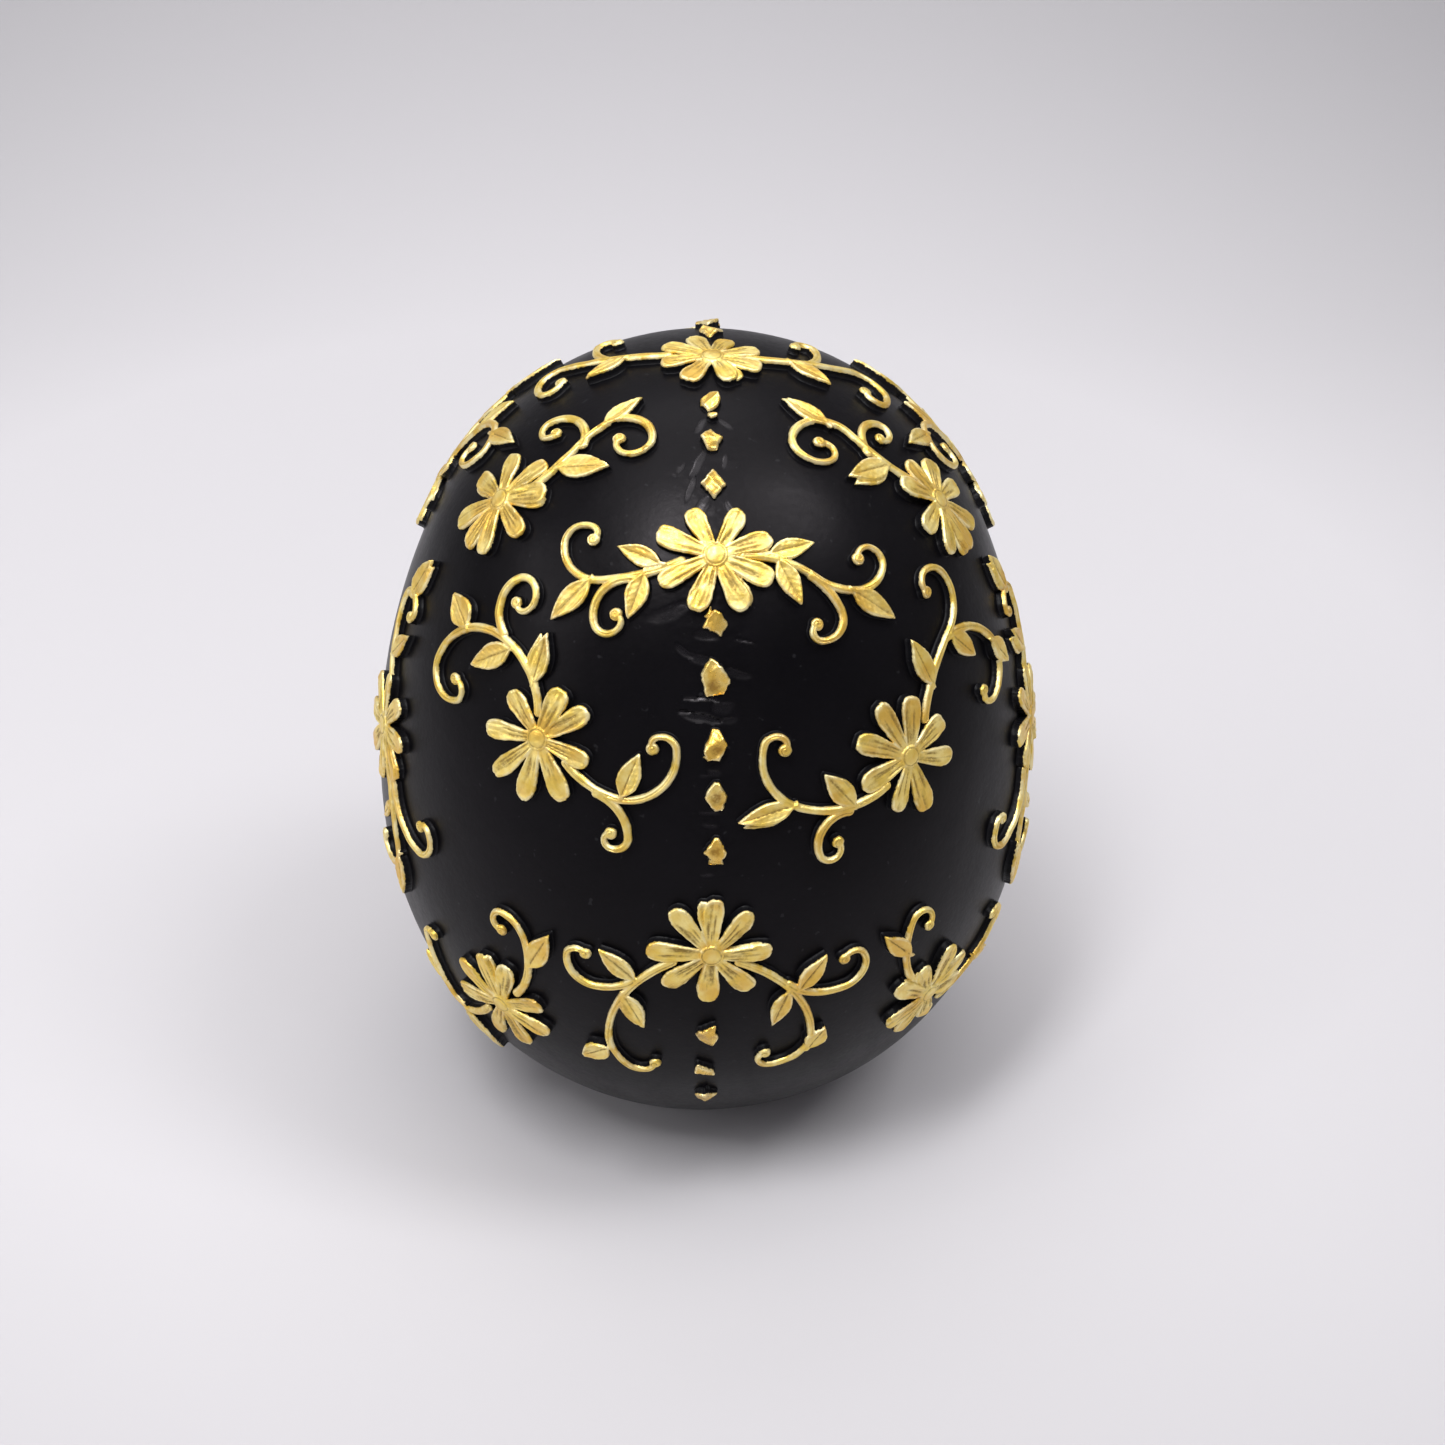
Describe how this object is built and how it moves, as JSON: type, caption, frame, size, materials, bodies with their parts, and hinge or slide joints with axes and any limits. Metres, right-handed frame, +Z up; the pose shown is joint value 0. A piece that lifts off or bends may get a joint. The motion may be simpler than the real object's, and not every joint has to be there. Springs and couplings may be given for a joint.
{
  "type": "ornamental egg",
  "caption": "Upright hollow black egg with raised gilt flower and vine sprays all round it, standing on a small flat foot with a rubber pad.",
  "frame": {"origin": "centre of the underside of the rubber pad, on the surface the egg stands on", "axes": "+Z up the egg's axis to the crown; -Y to the front, where the decoration is seen face on; +X to the right of someone who faces that front; the halves part on the plane X = 0"},
  "size_m": [0.1312, 0.1346, 0.1622],
  "materials": {
    "shell": "satin",
    "gilding": "satin",
    "rubber": "matte"
  },
  "bodies": {
    "root": {"left_half_shell": "shell", "right_half_shell": "shell", "rubber_pad": "rubber", "crown_flower": "gilding", "crown_vine": "gilding", "front_upper_flower": "gilding", "front_upper_vine": "gilding", "front_lower_flower": "gilding", "front_lower_vine": "gilding", "front_shoulder_left_flower": "gilding", "front_shoulder_left_vine": "gilding", "front_shoulder_right_flower": "gilding", "front_shoulder_right_vine": "gilding", "front_mid_left_flower": "gilding", "front_mid_left_vine": "gilding", "front_mid_right_flower": "gilding", "front_mid_right_vine": "gilding", "front_low_left_flower": "gilding", "front_low_left_vine": "gilding", "front_low_right_flower": "gilding", "front_low_right_vine": "gilding", "side_left_flower": "gilding", "side_left_vine": "gilding", "side_right_flower": "gilding", "side_right_vine": "gilding", "outer_left_flower": "gilding", "outer_left_vine": "gilding", "outer_right_flower": "gilding", "outer_right_vine": "gilding", "flank_left_flower": "gilding", "flank_left_vine": "gilding", "flank_right_flower": "gilding", "flank_right_vine": "gilding", "back_upper_flower": "gilding", "back_upper_vine": "gilding", "back_lower_flower": "gilding", "back_lower_vine": "gilding", "back_mid_left_flower": "gilding", "back_mid_left_vine": "gilding", "back_mid_right_flower": "gilding", "back_mid_right_vine": "gilding", "back_low_left_flower": "gilding", "back_low_left_vine": "gilding", "back_low_right_flower": "gilding", "back_low_right_vine": "gilding", "front_stud_row": "gilding", "back_stud_row": "gilding"}
  },
  "joints": []
}
